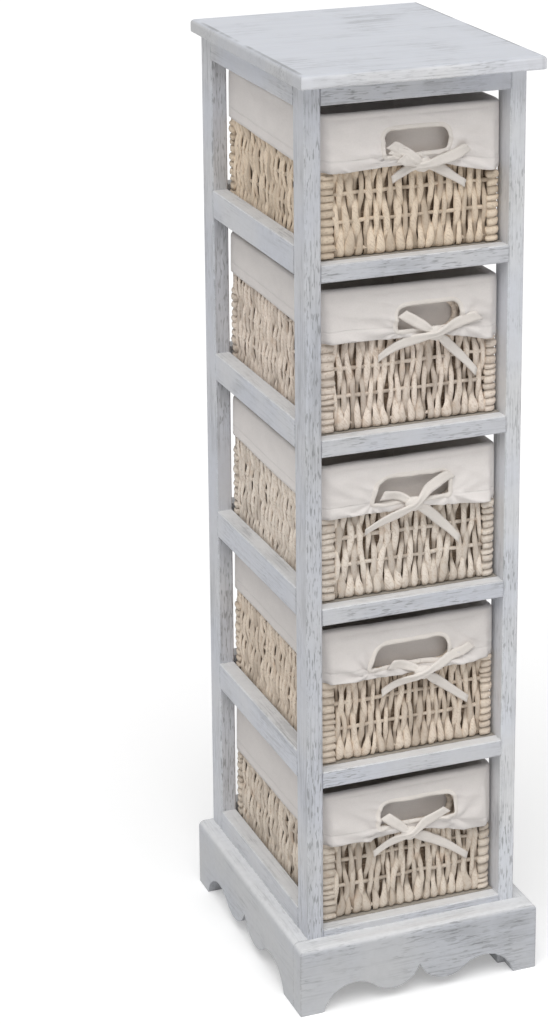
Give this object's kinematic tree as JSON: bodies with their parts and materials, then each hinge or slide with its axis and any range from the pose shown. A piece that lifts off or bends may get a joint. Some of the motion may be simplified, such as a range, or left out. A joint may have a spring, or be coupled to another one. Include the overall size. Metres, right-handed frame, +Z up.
{
  "type": "basket shelf unit",
  "caption": "Slim white-washed wooden tower on a scalloped plinth, with woven husk baskets in tied cotton liners that pull out like drawers.",
  "frame": {"origin": "on the floor, in the middle of the plinth's footprint", "axes": "+Z up, -Y towards the user, who pulls the baskets that way, and +X to the user's right"},
  "size_m": [0.252, 0.295, 0.93],
  "materials": {
    "whitewashed_wood": "white-washed, brushed and worn, matt",
    "shelf_wood": "bare, matt",
    "dowel_wood": "bare, matt",
    "husk_wrap": "twisted plant husk, matt",
    "husk_weave": "twisted plant husk, matt",
    "liner_cotton": "plain cotton, matt",
    "tie_cotton": "cotton tape, matt"
  },
  "bodies": {
    "frame": {"top_board": "whitewashed_wood", "front_skirt": "whitewashed_wood", "left_skirt": "whitewashed_wood", "right_skirt": "whitewashed_wood", "rear_skirt": "whitewashed_wood", "post_front_left": "whitewashed_wood", "post_rear_left": "whitewashed_wood", "post_front_right": "whitewashed_wood", "post_rear_right": "whitewashed_wood", "left_rail_0": "whitewashed_wood", "left_rail_1": "whitewashed_wood", "left_rail_2": "whitewashed_wood", "left_rail_3": "whitewashed_wood", "left_rail_4": "whitewashed_wood", "left_rail_5": "whitewashed_wood", "right_rail_0": "whitewashed_wood", "right_rail_1": "whitewashed_wood", "right_rail_2": "whitewashed_wood", "right_rail_3": "whitewashed_wood", "right_rail_4": "whitewashed_wood", "right_rail_5": "whitewashed_wood", "front_rail_0": "whitewashed_wood", "front_rail_1": "whitewashed_wood", "front_rail_2": "whitewashed_wood", "front_rail_3": "whitewashed_wood", "front_rail_4": "whitewashed_wood", "front_rail_5": "whitewashed_wood", "rear_rail_0": "whitewashed_wood", "rear_rail_1": "whitewashed_wood", "rear_rail_2": "whitewashed_wood", "rear_rail_3": "whitewashed_wood", "rear_rail_4": "whitewashed_wood", "rear_rail_5": "whitewashed_wood", "shelf_panel_1": "shelf_wood", "shelf_panel_2": "shelf_wood", "shelf_panel_3": "shelf_wood", "shelf_panel_4": "shelf_wood", "shelf_panel_5": "shelf_wood", "dowels": "dowel_wood"},
    "basket_1": {"basket_1_frame": "husk_wrap", "basket_1_weave": "husk_weave", "basket_1_liner": "liner_cotton", "basket_1_tie": "tie_cotton"},
    "basket_2": {"basket_2_frame": "husk_wrap", "basket_2_weave": "husk_weave", "basket_2_liner": "liner_cotton", "basket_2_tie": "tie_cotton"},
    "basket_3": {"basket_3_frame": "husk_wrap", "basket_3_weave": "husk_weave", "basket_3_liner": "liner_cotton", "basket_3_tie": "tie_cotton"},
    "basket_4": {"basket_4_frame": "husk_wrap", "basket_4_weave": "husk_weave", "basket_4_liner": "liner_cotton", "basket_4_tie": "tie_cotton"},
    "basket_5": {"basket_5_frame": "husk_wrap", "basket_5_weave": "husk_weave", "basket_5_liner": "liner_cotton", "basket_5_tie": "tie_cotton"}
  },
  "joints": [
    {"name": "pull_basket_1", "type": "slide", "parent": "frame", "child": "basket_1", "axis": [0, -1, 0], "range_m": [0, 0.255]},
    {"name": "pull_basket_2", "type": "slide", "parent": "frame", "child": "basket_2", "axis": [0, -1, 0], "range_m": [0, 0.255]},
    {"name": "pull_basket_3", "type": "slide", "parent": "frame", "child": "basket_3", "axis": [0, -1, 0], "range_m": [0, 0.255]},
    {"name": "pull_basket_4", "type": "slide", "parent": "frame", "child": "basket_4", "axis": [0, -1, 0], "range_m": [0, 0.255]},
    {"name": "pull_basket_5", "type": "slide", "parent": "frame", "child": "basket_5", "axis": [0, -1, 0], "range_m": [0, 0.255]}
  ]
}
